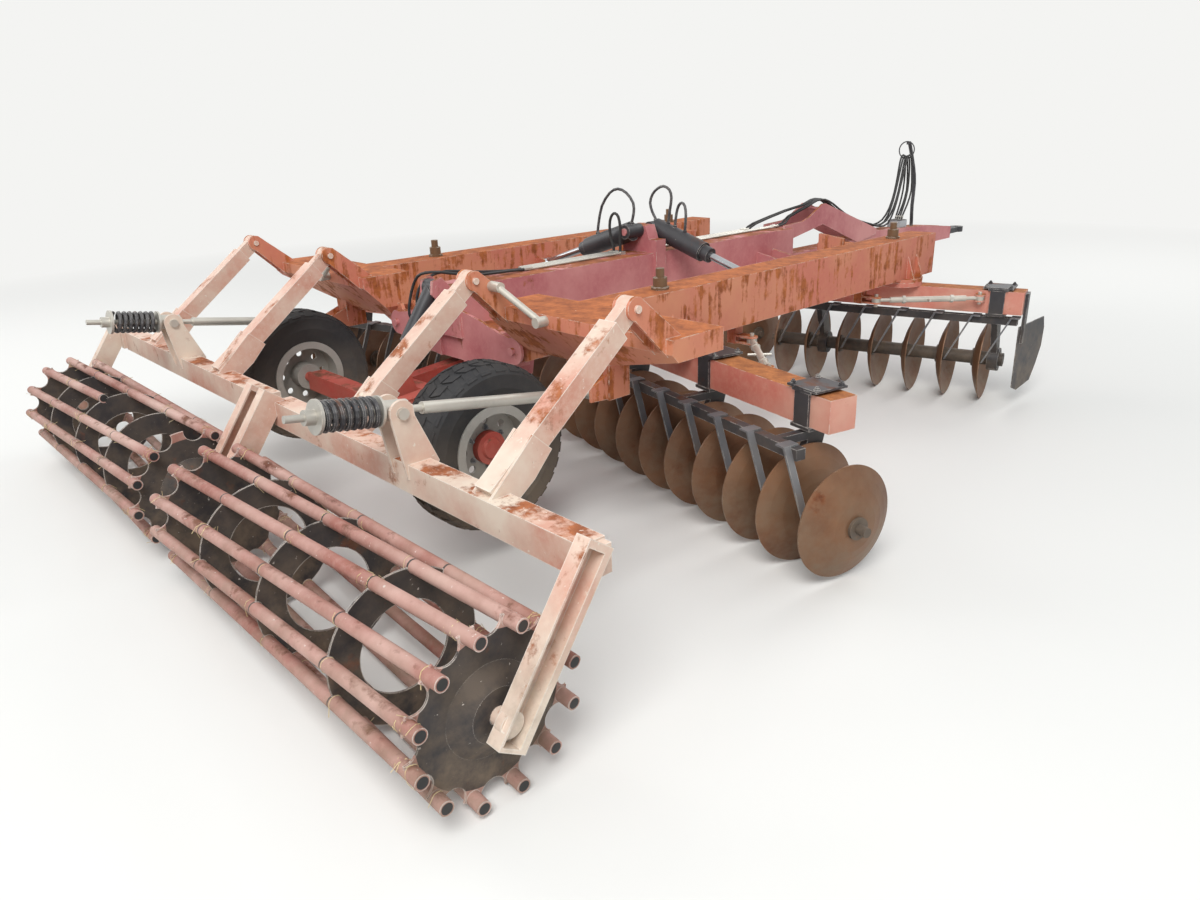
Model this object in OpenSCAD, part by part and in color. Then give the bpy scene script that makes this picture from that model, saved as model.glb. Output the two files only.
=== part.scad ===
// Trailed folding disc harrow, X layout, with two wings, four disc gangs, two transport wheels
// and two sprung tube rollers. Millimetres, +X right, +Y forward (towards the tractor), +Z up.
// Every place below is measured from the roller axis; shift_y then centres the whole machine.

/* [Chassis] */
// Half width of the main beam
beam_hw = 125; // [90:5:160]
// Underside of the main beam and of the wing beams
beam_z0 = 832; // [780:2:900]
// Top of the main beam and of the wing beams
beam_z1 = 1107; // [1000:1:1200]
// Rear end of the main beam
beam_y0 = 1400; // [1300:10:1500]
// Front end of the main beam
beam_y1 = 4480; // [4300:10:4600]
// Height of the hitch eye
hitch_z = 790; // [600:10:900]
// Centre of the hitch eye ahead of the roller axis
hitch_y = 7500; // [7000:10:7700]
// Radius of the hitch eye's bore
hitch_r = 25; // [20:1:30]

/* [Wings] */
// Fold pivot: distance from the centre plane
fold_x = 560; // [500:5:640]
// Fold pivot: height
fold_z = 830; // [780:5:900]
// Inner face of a wing beam
wing_x0 = 920; // [880:5:960]
// Outer face of a wing beam
wing_x1 = 1120; // [1080:5:1180]
// Front end of a wing beam
wing_y1 = 4750; // [4600:10:4900]
// Rear edge of the rear cross member
cross_y0 = 1250; // [1220:5:1280]
// Front edge of the rear cross member
cross_y1 = 1560; // [1540:5:1580]

/* [Gangs] */
// Radius of a disc
disc_r = 280; // [250:5:305]
// Radius of the smaller disc at the outer end of a rear gang
end_disc_r = 255; // [230:5:280]
// Distance between discs
disc_pitch = 240; // [220:5:260]
// Thickness of a disc
disc_t = 6; // [5:1:8]
// Dish of a disc
disc_dish = 72; // [40:2:90]
// Discs on a rear gang
rear_discs = 10; // [8:1:10]
// Discs on a front gang
front_discs = 7; // [6:1:8]
// Angle of the rear gangs, outer end back
rear_angle = 14; // [10:1:18]
// Angle of the front gangs, outer end forward
front_angle = 14; // [10:1:18]

/* [Rollers] */
// Radius of the circle that the tube centres lie on
ring_r = 283; // [260:1:300]
// Radius of a roller tube
rtube_r = 24; // [20:1:30]
// Tubes round a roller
rtubes = 12; // [10:1:14]
// Twist of the tubes from the inner end to the outer end
twist = 23; // [0:1:30]
// Inner and outer ends of a roller's tubes
roll_x0 = 122; // [110:1:140]
roll_x1 = 2270; // [2200:5:2300]

/* [Wheels] */
// Radius of a tyre
tyre_r = 380; // [360:5:425]
// Width of a tyre
tyre_w = 260; // [220:5:290]
// Wheel centre: distance from the centre plane
wheel_x = 920; // [900:5:960]
// Wheel centre ahead of the roller axis
wheel_y = 940; // [930:5:960]
// Wheel centre: height, carried clear of the ground with the discs lowered
wheel_z = 545; // [530:5:600]

/* [Hidden] */
$fn = 48;
roll_z = ring_r + rtube_r;
slack = 0.3;
// play between the discs and the spools that are clamped against them
seat = 0.02;
fold_pin_r = 20;
lift_pin_r = 18;
axle_pin_r = 22;
arm_pin_r = 15;
spindle_r = 30;
rim_r = 210;
spool_r = 46;
flat_r = 66;
tower_pin_r = 22;
shift_y = -(hitch_y + 62 - roll_z) / 2;
rear_box = [1430, 1612];
front_box = [4040, 4220];
box_z0 = 700;
box_z1 = 900;
axle_py = 1720;
axle_pz = 620;
arm_y = 1093;
arm_z = 1250;
arm_xs = [700, 1722];
arm_w = 90;
frame_y0 = 345;
frame_y1 = 445;
frame_z0 = 602;
frame_z1 = 722;
spring_x = 1221;
spring_front = [1332, 763];
spring_pin = [347, 927];
tower_y0 = 2925;
tower_y1 = 3015;
tower_z = 1245;
pipe_r = 8;
pipe_xs = [-100, -70, -40, -10];
ram_r = 62;
ram_rod_r = 23;
ram_y = [tower_y0 - ram_r - 5, tower_y1 + ram_r + 5];
ram_eye = [880, 970];
rear_pivot = [1021, 2133];
front_pivot = [1021, 4612];
rear_hub_x = 2327;
front_hub_x = 1508;
arm_top = 785;
arm_h = 150;
turn_z = 740;
bar_z1 = arm_top - arm_h - 23;
bar_z0 = bar_z1 - 50;
turn_eye = 26;
rear_turn = [1130, 2650];
front_turn = [1095, 4045];
rear_lug = [520, arm_h + 45];
front_lug = [520, -245];
lift_top = [1330, 1110];
lift_eye = [1050, 720];
// hanger places along a gang, counted in disc pitches from its outer disc
rear_hangers = [1.5, 4.5, 7.5];
front_hangers = [-0.5, 4.5];
rear_flange = [1046, 2060];
front_flange = [1046, 4440];
clevis_w = 28;
scraper_tip = 300;
shield_x = 1812;
// the tube of the left roller that has broken off at its inner end
broken = 2;

module at_origin() { translate([0, shift_y, 0]) children(); }

// draws the right-hand piece, or its mirror image for the left-hand side
module on_side(s) {
    at_origin() if (s > 0) children(); else mirror([1, 0, 0]) children();
}

module box(x0, x1, y0, y1, z0, z1) {
    translate([x0, y0, z0]) cube([x1 - x0, y1 - y0, z1 - z0]);
}

// turns the Z axis into the direction from p to q, with its start at p
module along(p, q) {
    d = q - p;
    translate(p) rotate([0, acos(d[2] / norm(d)), atan2(d[1], d[0])]) children();
}

module rod(p, q, r) { along(p, q) cylinder(h = norm(q - p), r = r); }

// outline in the YZ plane, drawn from x0 to x1
module plate_yz(x0, x1, pts) {
    translate([x0, 0, 0]) rotate([90, 0, 90]) linear_extrude(x1 - x0) polygon(pts);
}

// outline in the XZ plane, drawn from y0 to y1
module plate_xz(y0, y1, pts) {
    translate([0, y1, 0]) rotate([90, 0, 0]) linear_extrude(y1 - y0) polygon(pts);
}

module pin_x(x0, x1, y, z, r) { translate([x0, y, z]) rotate([0, 90, 0]) cylinder(h = x1 - x0, r = r); }

module pin_y(x, y0, y1, z, r) { translate([x, y0, z]) rotate([-90, 0, 0]) cylinder(h = y1 - y0, r = r); }

module pin_z(x, y, z0, z1, r) { translate([x, y, z0]) cylinder(h = z1 - z0, r = r); }

// a beam of w across (along X) and h deep between two points of one YZ plane
module beam_yz(x, w, a, b, h) {
    d = b - a;
    translate([x - w / 2, a[0], a[1]]) rotate([atan2(d[1], d[0]), 0, 0])
        translate([0, 0, -h / 2]) cube([w, norm(d), h]);
}

// Chassis
module chassis_ears(b) {
    for (y = [b[0] - 16, b[1]], s = [-1, 1]) {
        plate_xz(y, y + 16, [[s * 110, box_z0], [s * (fold_x - 10), fold_z - 70],
                             [s * (fold_x + 20), fold_z], [s * fold_x, fold_z + 60], [s * 440, 908],
                             [s * 290, 950], [s * 110, 985]]);
        pin_y(s * fold_x, y, y + 16, fold_z, 70);
    }
}

// a cross box under the main beam, with the ears and pins of both fold pivots
module cross_box(b) {
    box(-440, 440, b[0], b[1], box_z0, box_z1);
    chassis_ears(b);
    for (s = [-1, 1]) pin_y(s * fold_x, b[0] - 34, b[1] + 34, fold_z, fold_pin_r);
}

module main_beam() {
    color("indianred") at_origin() {
        box(-beam_hw, beam_hw, beam_y0, beam_y1, beam_z0, beam_z1);
        cross_box(rear_box);
        cross_box(front_box);
        pin_x(-58, 58, lift_top[0], lift_top[1], lift_pin_r);
        pin_x(-224, 224, axle_py, axle_pz, axle_pin_r);
        y0 = min(rear_box[1] - 12, axle_py - 60);
        for (s = [-1, 1]) {
            plate_yz(s * 215 - 8, s * 215 + 8, [[y0, box_z0 + 5], [y0, box_z1 - 20],
                                                [axle_py + 140, box_z1 - 20], [axle_py + 80, axle_pz - 50],
                                                [axle_py - 50, axle_pz - 70]]);
            plate_yz(s * 49 - 8, s * 49 + 8, [[lift_top[0] - 44, lift_top[1] - 30], [lift_top[0] - 34, 1148],
                                              [lift_top[0] + 26, 1162], [beam_y0 + 12, beam_z1 - 5],
                                              [beam_y0 + 12, 940]]);
        }
    }
}

module tower() {
    color("indianred") at_origin() {
        for (t = [-1, 1]) box(t > 0 ? beam_hw : -150, t > 0 ? 150 : -beam_hw, tower_y0, tower_y1,
                              beam_z0 + 40, 1190);
        box(-beam_hw, beam_hw, tower_y0, tower_y1, beam_z1, 1190);
        plate_xz(tower_y0, tower_y1, [[-90, 1180], [90, 1180], [52, 1275], [-52, 1275]]);
        pin_y(0, ram_y[0] - ram_r - 14, ram_y[1] + ram_r + 14, tower_z, tower_pin_r);
    }
}

module drawbar() {
    color("indianred") at_origin() difference() {
        union() {
            plate_yz(-83, 83, [[beam_y1, beam_z0], [beam_y1, 905], [5350, 905], [5700, 960], [6700, 905],
                               [7200, 850], [7200, 740], [6600, 740]]);
            for (s = [-1, 1]) plate_yz(s * 90 - 8, s * 90 + 8, [[4400, beam_z1], [4400, beam_z1 + 24],
                                                             [4640, 1140], [4730, 1166], [4905, 1250],
                                                             [4950, 1248], [5760, 975], [5745, 930],
                                                             [5470, 890], [4920, 1092], [beam_y1, 1020],
                                                             [beam_y1, beam_z1]]);
            pin_x(-90, 90, 4920, 1212, 12);
        }
        box(-38 - slack, 38 + slack, 7122 - slack, 7210, 700, 900);
    }
}

module hitch_eye() {
    color("dimgray") at_origin() difference() {
        union() {
            pin_z(0, hitch_y, hitch_z - 25, hitch_z + 25, 62);
            box(-38, 38, 7122, hitch_y - 30, hitch_z - 25, hitch_z + 25);
        }
        pin_z(0, hitch_y, hitch_z - 30, hitch_z + 30, hitch_r);
    }
}

// where the front pipe number k ends
function pipe_end(k) = k < 2 ? 4140 : 4430;

module hydraulic_pipes() {
    z = beam_z1 + pipe_r + slack;
    color("silver") at_origin() {
        for (k = [0:3]) {
            rod([pipe_xs[k], 2000, z], [pipe_xs[k], 2760, z], pipe_r);
            rod([pipe_xs[k], 3025, z], [pipe_xs[k], pipe_end(k), z], pipe_r);
        }
        box(-114, 4, 2750, 2792, beam_z1 + slack, beam_z1 + 18);
        box(-114, 4, 3025, 3060, beam_z1 + slack, beam_z1 + 18);
    }
}

// route of the front hose number k: over the drawbar's bracket, through the stand's ring, to the valve
// block; each point is [y, z], the hose's own place across is reached on the way
function front_route(k) =
    let (e = pipe_end(k), w = [0, 9, 3, 13][k], h = k < 2 ? 1 : 0, top = k == 0 || k == 3 ? 1540 : 1532.5)
    concat([[pipe_xs[k], e + 0.7, beam_z1 + pipe_r + slack],
            [pipe_xs[k], e + 45, beam_z1 + pipe_r + 2 + 2.5 * h],
            [pipe_xs[k], e + 130, beam_z1 + 22 + 22 * h],
            [pipe_xs[k] * 0.7 - 15, 4640, 1172 + 40 * h]],
           [for (q = [[4800, 1236 + 8 * h], [4920, 1270 + 4 * h], [5040, 1268 + 3 * h], [5160, 1212 + w],
                      [5350, 1118 + w], [5580, 1040 + w], [5780, 992 + w], [5930, 984 - w],
                      [6070, 1010 - 2 * w], [6180 - w, 1100], [6250 - 2 * w, 1240], [6285 - w, 1390],
                      [6304, 1490], [6332, top], [6372, top], [6400, 1485], [6412 + w, 1380],
                      [6404 + 3 * w, 1240], [6366 + 2 * w, 1120], [6322, 1030], [6316, 990.8]])
                [-30 + 20 * k, q[0], q[1]]]);

// four hoses from the pipes to the valve block, two that hang behind the main beam, one loop at the tower
module hoses() {
    z = beam_z1 + pipe_r + slack;
    color("black") at_origin() {
        for (k = [0:3]) hose(front_route(k), pipe_r, [1, 0.1, 0]);
        hose([[-10, 2000 - 0.7, z], [-10, 1955, z + 2], [4, 1850, 1126], [44, 1640, 1140], [84, 1470, 1166],
              [58, 1350, 1192], [0, 1296, 1190], [-62, 1284, 1166], [-112, 1280, 1110], [-128, 1262, 1040],
              [-132, 1250, 960], [-134, 1284, 880], [-136, 1340, 846], [-136, 1414 - 0.7, 840]],
             pipe_r, [0.3, 1, 0.9]);
        hose([[-40, 2000 - 0.7, z], [-40, 1955, z + 2], [-44, 1850, 1122], [-58, 1650, 1142],
              [-84, 1480, 1166], [-100, 1370, 1146], [-106, 1310, 1090], [-104, 1286, 1010],
              [-98, 1300, 930], [-95, 1346, 884], [-95, 1400 - 0.7, 880]], pipe_r, [1, 0.1, 0]);
        hose([[-84, 2772, beam_z1 + 18.7], [-86, 2772, 1150], [-104, 2772, 1195], [-116, 2772, 1248],
              [-112, 2772, 1310], [-90, 2772, 1350], [-62, 2772, 1360], [-34, 2772, 1340],
              [-20, 2772, 1280], [-22, 2772, 1200], [-24, 2772, beam_z1 + 18.7]], 9, [0, 1, 0]);
    }
}

module hose_stand() {
    color("dimgray") at_origin() {
        hose([[0, 6557, 913.6], [0, 6556, 960], [0, 6541, 1100], [0, 6546, 1290], [0, 6500, 1440],
              [0, 6395, 1640]], 16, [1, 0, 0]);
        translate([0, 6350, 1588]) rotate([90, 0, 0]) rotate_extrude() translate([71, 0]) circle(r = 5);
        box(-7, 7, 6350, 6400, 1634, 1660);
        box(-62, 62, 6230, 6350, 931, 990);
    }
}

// Axle and wheels
module axle_frame() {
    color("firebrick") at_origin() difference() {
        union() {
            pin_x(-207 + slack, 207 - slack, axle_py, axle_pz, 50);
            for (s = [-1, 1]) beam_yz(s * 150, 90, [wheel_y, wheel_z], [axle_py, axle_pz], 90);
            box(-740, 740, wheel_y - 50, wheel_y + 50, wheel_z - 50, wheel_z + 50);
            for (s = [-1, 1]) pin_x(s > 0 ? 740 : -wheel_x - 60, s > 0 ? wheel_x + 60 : -740, wheel_y,
                                    wheel_z, spindle_r);
            for (s = [-1, 1]) plate_yz(s * 48 - 8, s * 48 + 8, [[960, 560], [1010, 750], [1085, 750],
                                                                [1150, 560]]);
            box(-150, 150, 1130, 1210, 530, 610);
        }
        pin_x(-210, 210, axle_py, axle_pz, axle_pin_r + slack);
    }
}

module lift_barrel() {
    d = lift_eye - lift_top;
    u = d / norm(d);
    a = lift_top;
    b = lift_top + u * 330;
    color("black") at_origin() difference() {
        union() {
            rod([0, a[0], a[1]], [0, b[0], b[1]], 41 - slack);
            pin_x(-41 + slack, 41 - slack, a[0], a[1], 42);
        }
        pin_x(-45, 45, a[0], a[1], lift_pin_r + slack);
        rod([0, a[0] + u[0] * 60, a[1] + u[1] * 60], [0, b[0] - u[0] * 20, b[1] - u[1] * 20], 30);
        rod([0, a[0] + u[0] * 60, a[1] + u[1] * 60], [0, b[0] + u[0] * 5, b[1] + u[1] * 5], 20 + slack);
    }
}

module lift_rod() {
    d = lift_eye - lift_top;
    u = d / norm(d);
    a = lift_top + u * 80;
    color("silver") at_origin() {
        rod([0, a[0], a[1]], [0, lift_eye[0], lift_eye[1]], 20);
        pin_x(-40 + slack, 40 - slack, lift_eye[0], lift_eye[1], 32);
    }
}

module tyre(s) {
    h = tyre_w / 2 - 2;
    color("dimgray") on_side(s) translate([wheel_x, wheel_y, wheel_z]) rotate([0, 90, 0])
        rotate_extrude($fn = 64) polygon([[rim_r + slack, -96], [290, -h], [350, -h], [tyre_r - 8, -105],
                                          [tyre_r, -60], [tyre_r, 60], [tyre_r - 8, 105], [350, h], [290, h],
                                          [rim_r + slack, 96]]);
}

module wheel(s) {
    color("silver") on_side(s) translate([wheel_x, wheel_y, wheel_z]) rotate([0, 90, 0]) difference() {
        union() {
            rotate_extrude($fn = 64) polygon([[170, -104], [rim_r, -104], [rim_r, -96], [190, -88],
                                              [180, 60], [190, 88], [rim_r, 96], [rim_r, 104], [170, 104]]);
            translate([0, 0, 10]) cylinder(h = 12, r = 175);
            translate([0, 0, -90]) cylinder(h = 150, r = 75);
        }
        translate([0, 0, -100]) cylinder(h = 165, r = spindle_r + slack);
        for (k = [0:7]) rotate(k * 45) translate([125, 0, 0]) cylinder(h = 40, r = 18);
    }
}

// Wings
module wing_lugs(b) {
    for (y = [b[0] + 30, b[1] - 56]) difference() {
        union() {
            plate_xz(y, y + 20, [[fold_x - 30, fold_z], [fold_x + 20, fold_z + 100],
                                 [fold_x + 260, fold_z + 100], [fold_x + 260, fold_z + 20],
                                 [fold_x + 40, fold_z - 60]]);
            pin_y(fold_x, y, y + 20, fold_z, 66);
        }
        pin_y(fold_x, y - 1, y + 21, fold_z, fold_pin_r + slack);
    }
}

module arm_clevis(x) {
    for (s = [-1, 1]) {
        m = x + s * (clevis_w + slack + 7);
        difference() {
            union() {
                plate_yz(m - 7, m + 7, [[arm_y - 38, arm_z + 24], [arm_y + 22, arm_z + 42],
                                        [1345, beam_z1 - 5], [1345, 1040], [1262, 1030],
                                        [arm_y - 8, arm_z - 46]]);
                pin_x(m - 7, m + 7, arm_y, arm_z, 46);
            }
            pin_x(x - 70, x + 70, arm_y, arm_z, arm_pin_r + slack);
        }
    }
}

// one of the two flat ears that hold a turnbuckle's eye under the wing beam
module turn_ear(p, t) {
    z = turn_z + t * (turn_eye / 2 + slack);
    difference() {
        union() {
            translate([p[0], p[1], t > 0 ? z : z - 10]) cylinder(h = 10, r = 32);
            box(p[0] - 150, p[0], p[1] - 32, p[1] + 32, t > 0 ? z : z - 10, t > 0 ? z + 10 : z);
            box(p[0] - 150, p[0] - 90, p[1] - 32, p[1] + 32, turn_z - 30, beam_z0 + 6);
        }
        pin_z(p[0], p[1], turn_z - 60, turn_z + 60, 12 + slack);
    }
}

module wing_frame(s) {
    color("indianred") on_side(s) {
        box(wing_x0, wing_x1, cross_y1 - 100, wing_y1, beam_z0, beam_z1);
        intersection() {
            plate_xz(cross_y0, cross_y1, [[610, beam_z1], [1800, beam_z1], [1800, 1010], [1150, 850],
                                          [655, 850], [610, 915]]);
            plate_yz(500, 1900, [[cross_y0, beam_z1], [cross_y0, 1045], [1440, 850], [cross_y1, 850],
                                 [cross_y1, beam_z1]]);
        }
        translate([0, 0, 850]) linear_extrude(300)
            polygon([[650, front_box[0] - 31], [930, front_box[0] - 180], [930, front_box[0] - 160],
                     [650, front_box[0] - 9]]);
        plate_xz(front_box[0] + 20, front_box[1] - 20, [[610, 1080], [1000, 1080], [1000, beam_z0],
                                                        [655, 850], [610, 915]]);
        box(650, 666, front_box[0] - 30, front_box[0] + 30, 915, 1080);
        wing_lugs(rear_box);
        wing_lugs(front_box);
        for (f = [rear_flange, front_flange]) {
            pin_z(f[0], f[1], beam_z0 - 18, beam_z0 + 6, 145);
            for (t = [-1, 1]) plate_xz(f[1] + t * 56 - 5, f[1] + t * 56 + 5,
                                       [[wing_x1 - 5, beam_z0], [wing_x1 + 62, beam_z0],
                                        [wing_x1 + 50, beam_z0 + 24], [wing_x1, beam_z0 + 160],
                                        [wing_x1 - 5, beam_z0 + 160]]);
        }
        for (x = arm_xs) arm_clevis(x);
        box(spring_x - 60, spring_x + 60, 1400, 1530, 720, 900);
        for (t = [-1, 1]) plate_yz(spring_x + t * 48 - 6, spring_x + t * 48 + 6,
                                   [[1290, 735], [1290, 800], [1420, 850], [1420, 725]]);
        for (t = [-1, 1], p = [rear_turn, front_turn]) turn_ear(p, t);
        for (t = [-1, 1]) plate_xz(ram_y[s > 0 ? 1 : 0] + t * 50 - 6, ram_y[s > 0 ? 1 : 0] + t * 50 + 6,
                                   [[ram_eye[0] - 40, ram_eye[1] - 45], [ram_eye[0] - 40, ram_eye[1] + 28],
                                    [ram_eye[0] - 15, ram_eye[1] + 40], [wing_x0 + 5, ram_eye[1] + 50],
                                    [wing_x0 + 5, ram_eye[1] - 60]]);
    }
}

// along-gang frame: origin under the pivot at ground level, local +X outward along the gang
module gang_frame(pivot, angle) { translate([pivot[0], pivot[1], 0]) rotate(angle) children(); }

function rear_u(k) = (rear_hub_x - rear_pivot[0]) / cos(rear_angle) - k * disc_pitch;
function front_u(k) = (front_hub_x - front_pivot[0]) / cos(front_angle) - k * disc_pitch;

// two flat ears on a gang arm's side, for the outer eye of its turnbuckle
module turn_lug(p, side) {
    for (t = [-1, 1]) difference() {
        z = turn_z + t * (turn_eye / 2 + slack);
        union() {
            translate([p[0], p[1], t > 0 ? z : z - 10]) cylinder(h = 10, r = 30);
            box(p[0] - 30, p[0] + 30, min(p[1], p[1] - side * 45), max(p[1], p[1] - side * 45),
                t > 0 ? z : z - 10, t > 0 ? z + 10 : z);
        }
        pin_z(p[0], p[1], turn_z - 60, turn_z + 60, 12 + slack);
    }
}

module gang_arms(s) {
    color("indianred") on_side(s) {
        gang_frame(rear_pivot, -rear_angle) {
            box(-640, 1150, 0, arm_h, arm_top - arm_h, arm_top);
            turn_lug(rear_lug, 1);
        }
        gang_frame(front_pivot, front_angle) {
            box(-650, 780, -200, -200 + arm_h, arm_top - arm_h, arm_top);
            turn_lug(front_lug, -1);
        }
        for (f = [rear_flange, front_flange]) pin_z(f[0], f[1], arm_top, beam_z0 - 18, 145);
    }
}

module hanger(u, dy) {
    box(u - 60, u + 60, dy - 15, dy + arm_h + 15, arm_top, arm_top + 14);
    box(u - 60, u + 60, dy - 15, dy + arm_h + 15, arm_top - arm_h - 16, arm_top - arm_h);
    for (y = [dy - 12, dy + arm_h]) box(u - 45, u + 45, y, y + 12, arm_top - arm_h - 10, arm_top + 10);
    plate_yz(u - 20, u + 20, [[dy + 20, 625], [dy + 130, 625], [60, 340], [60, 220], [-60, 220], [-60, 340],
                              [dy + 20, 560]]);
}

module hanger_set(places, dy) {
    for (u = places) difference() {
        union() {
            hanger(u, dy);
            pin_x(u - 35, u + 35, 0, disc_r, 80);
        }
        pin_x(u - 70, u + 70, 0, disc_r, spool_r + slack);
    }
}

module scraper_bar(u0, u1) { box(u0, u1, -190, -140, bar_z0, bar_z1); }

module gang_hangers(s) {
    color("black") on_side(s) {
        gang_frame(rear_pivot, -rear_angle) {
            hanger_set([for (k = rear_hangers) rear_u(k)], 0);
            scraper_bar(rear_u(rear_discs - 0.8), rear_u(0.75));
            for (k = rear_hangers) box(rear_u(k) - 20, rear_u(k) + 20, -145, 40, bar_z0 + 5, bar_z1 - 5);
        }
        gang_frame(front_pivot, front_angle) {
            hanger_set([for (k = front_hangers) front_u(k)], -200);
            scraper_bar(front_u(front_discs - 0.7), front_u(-1.07));
        }
    }
}

// a flat strap clamped on the scraper bar and bent down past its side to the hollow face of the disc
// at u; d is the side, along the gang, that the hollow face looks to
module scraper(u, d) {
    top = bar_z1 + slack;
    plate_xz(-225, -190 - slack, [[u + d * 226, top], [u + d * 226, top + 8], [u + d * 218, top + 8],
                                  [u + d * 69, scraper_tip], [u + d * 78, scraper_tip]]);
    plate_xz(-225, -145, [[u + d * 272, top], [u + d * 272, top + 8], [u + d * 219, top + 8],
                          [u + d * 219, top]]);
}

module scrapers(s) {
    color("gray") on_side(s) {
        gang_frame(rear_pivot, -rear_angle) for (k = [0:rear_discs - 2]) scraper(rear_u(k), -1);
        gang_frame(front_pivot, front_angle) for (k = [0:front_discs - 1]) scraper(front_u(k), 1);
    }
}

// the plate that keeps the soil in at the outer end of a front gang, parallel to the travel
module side_shield(s) {
    color("darkslategray") on_side(s) {
        plate_yz(shield_x, shield_x + 6, [[4618, 556], [5030, 560], [5062, 480], [5056, 350], [4990, 220],
                                          [4925, 130], [4715, 105], [4630, 140]]);
        gang_frame(front_pivot, front_angle) box(780 + slack, 800, -150, -60, 440, 770);
    }
}

// a turnbuckle from its ears under the beam to its lug on a gang arm, given in the gang's own frame
module turnbuckle(a, pivot, angle, lug) {
    b = pivot + [lug[0] * cos(angle) - lug[1] * sin(angle), lug[0] * sin(angle) + lug[1] * cos(angle)];
    p = [a[0], a[1], turn_z];
    q = [b[0], b[1], turn_z];
    d = (q - p) / norm(q - p);
    difference() {
        union() {
            pin_z(p[0], p[1], turn_z - turn_eye / 2, turn_z + turn_eye / 2, 28);
            pin_z(q[0], q[1], turn_z - turn_eye / 2, turn_z + turn_eye / 2, 28);
            rod(p + d * 20, q - d * 20, 12);
            rod(p + d * 90, q - d * 90, 19);
        }
        pin_z(p[0], p[1], turn_z - 40, turn_z + 40, 12 + slack);
        pin_z(q[0], q[1], turn_z - 40, turn_z + 40, 12 + slack);
    }
    pin_z(p[0], p[1], turn_z - 44, turn_z + 40, 12);
    pin_z(q[0], q[1], turn_z - 40, turn_z + 40, 12);
}

module adjusters(s) {
    color("silver") on_side(s) {
        turnbuckle(rear_turn, rear_pivot, -rear_angle, rear_lug);
        turnbuckle(front_turn, front_pivot, front_angle, front_lug);
        for (p = [[1021, 2020], [1021, 4330]]) {
            pin_z(p[0], p[1], beam_z1 + slack, beam_z1 + 12, 46);
            pin_z(p[0], p[1], beam_z1 + 12, beam_z1 + 60, 36);
            pin_z(p[0], p[1], beam_z1 + 60, beam_z1 + 105, 22);
        }
        rod([800, 1180, 1212], [1035, 1215, 1085], 16);
        pin_y(1035, 1190, cross_y0 - slack, 1080, 24);
        pin_x(arm_xs[0] + clevis_w + 14 + 2 * slack, 815, 1180, 1215, 24);
    }
}

// Rollers
function arm_foot() = [(frame_y0 + frame_y1) / 2, frame_z1 - 10];

// an open channel from the beam down to the roller's bearing, with its web on the roller's side
module end_arm(x0, x1, web) {
    a = [frame_y0 + 7, frame_z1 + 38];
    b = [-25, roll_z - 72];
    d = b - a;
    translate([0, a[0], a[1]]) rotate([atan2(d[1], d[0]), 0, 0]) difference() {
        box(x0, x1, 0, norm(d), -55, 55);
        box(web > 0 ? x0 + 8 : x0 - 1, web > 0 ? x1 + 1 : x1 - 8, 26, norm(d) - 14, -47, 27);
    }
}

// one arm from the roller's beam up to its clevis: a square tube that ends in a narrower lug
module roller_arm(x) {
    a = arm_foot();
    d = [arm_y, arm_z] - a;
    u = d / norm(d);
    difference() {
        union() {
            beam_yz(x, arm_w, a, a + d - u * 105, 90);
            beam_yz(x, 2 * clevis_w - 6, a + d - u * 125, [arm_y, arm_z], 78);
            pin_x(x - clevis_w, x + clevis_w, arm_y, arm_z, 45);
        }
        pin_x(x - 60, x + 60, arm_y, arm_z, arm_pin_r + slack);
    }
    for (t = [-1, 1]) plate_yz(x + t * 49 - 6, x + t * 49 + 6,
                               [[frame_y0 + 5, frame_z1 - 10], [560, 905], [640, 830],
                                [frame_y1 + 110, 740], [frame_y1, frame_z1 - 60]]);
    pin_x(x - 54, x + 54, arm_y, arm_z, arm_pin_r);
}

module roller_frame(s) {
    color("indianred") on_side(s) {
        box(60, 2245, frame_y0, frame_y1, frame_z0, frame_z1);
        box(2235, 2280, frame_y0 - 22, frame_y1 - 6, frame_z0 + 10, frame_z1 - 8);
        for (x = arm_xs) roller_arm(x);
        end_arm(2275, 2335, 1);
        end_arm(42, 102, -1);
        for (t = [-1, 1]) difference() {
            union() {
                plate_yz(spring_x + t * 52 - 6, spring_x + t * 52 + 6,
                         [[frame_y0 - 5, frame_z1 - 60], [300, 905], [300, 950], [395, 950], [400, 905],
                          [frame_y1 + 40, frame_z1 - 20], [frame_y1, frame_z1 - 60]]);
                pin_x(spring_x + t * 52 - 6, spring_x + t * 52 + 6, spring_pin[0], spring_pin[1], 50);
            }
            pin_x(spring_x - 80, spring_x + 80, spring_pin[0], spring_pin[1], 22 + slack);
        }
        pin_x(2207, 2290, 0, roll_z, 30 - slack);
        pin_x(87, 185, 0, roll_z, 30 - slack);
        pin_x(2282, 2312, 0, roll_z, 42);
        pin_x(65, 95, 0, roll_z, 42);
    }
}

function rod_dir() = (spring_pin - spring_front) / norm(spring_pin - spring_front);
function rod_at(l) = [spring_x, spring_front[0] + rod_dir()[0] * l, spring_front[1] + rod_dir()[1] * l];

// joins rings of points, each with the same number of sides, into one closed tube
module ring_tube(pts, sides) {
    steps = len(pts) / sides - 1;
    walls = [for (i = [0:steps - 1]) for (j = [0:sides - 1]) let (n = (j + 1) % sides)
                 [i * sides + j, i * sides + n, (i + 1) * sides + n, (i + 1) * sides + j]];
    start_cap = [for (j = [sides - 1:-1:0]) j];
    end_cap = [for (j = [0:sides - 1]) steps * sides + j];
    polyhedron(pts, concat([start_cap], walls, [end_cap]));
}

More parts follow.
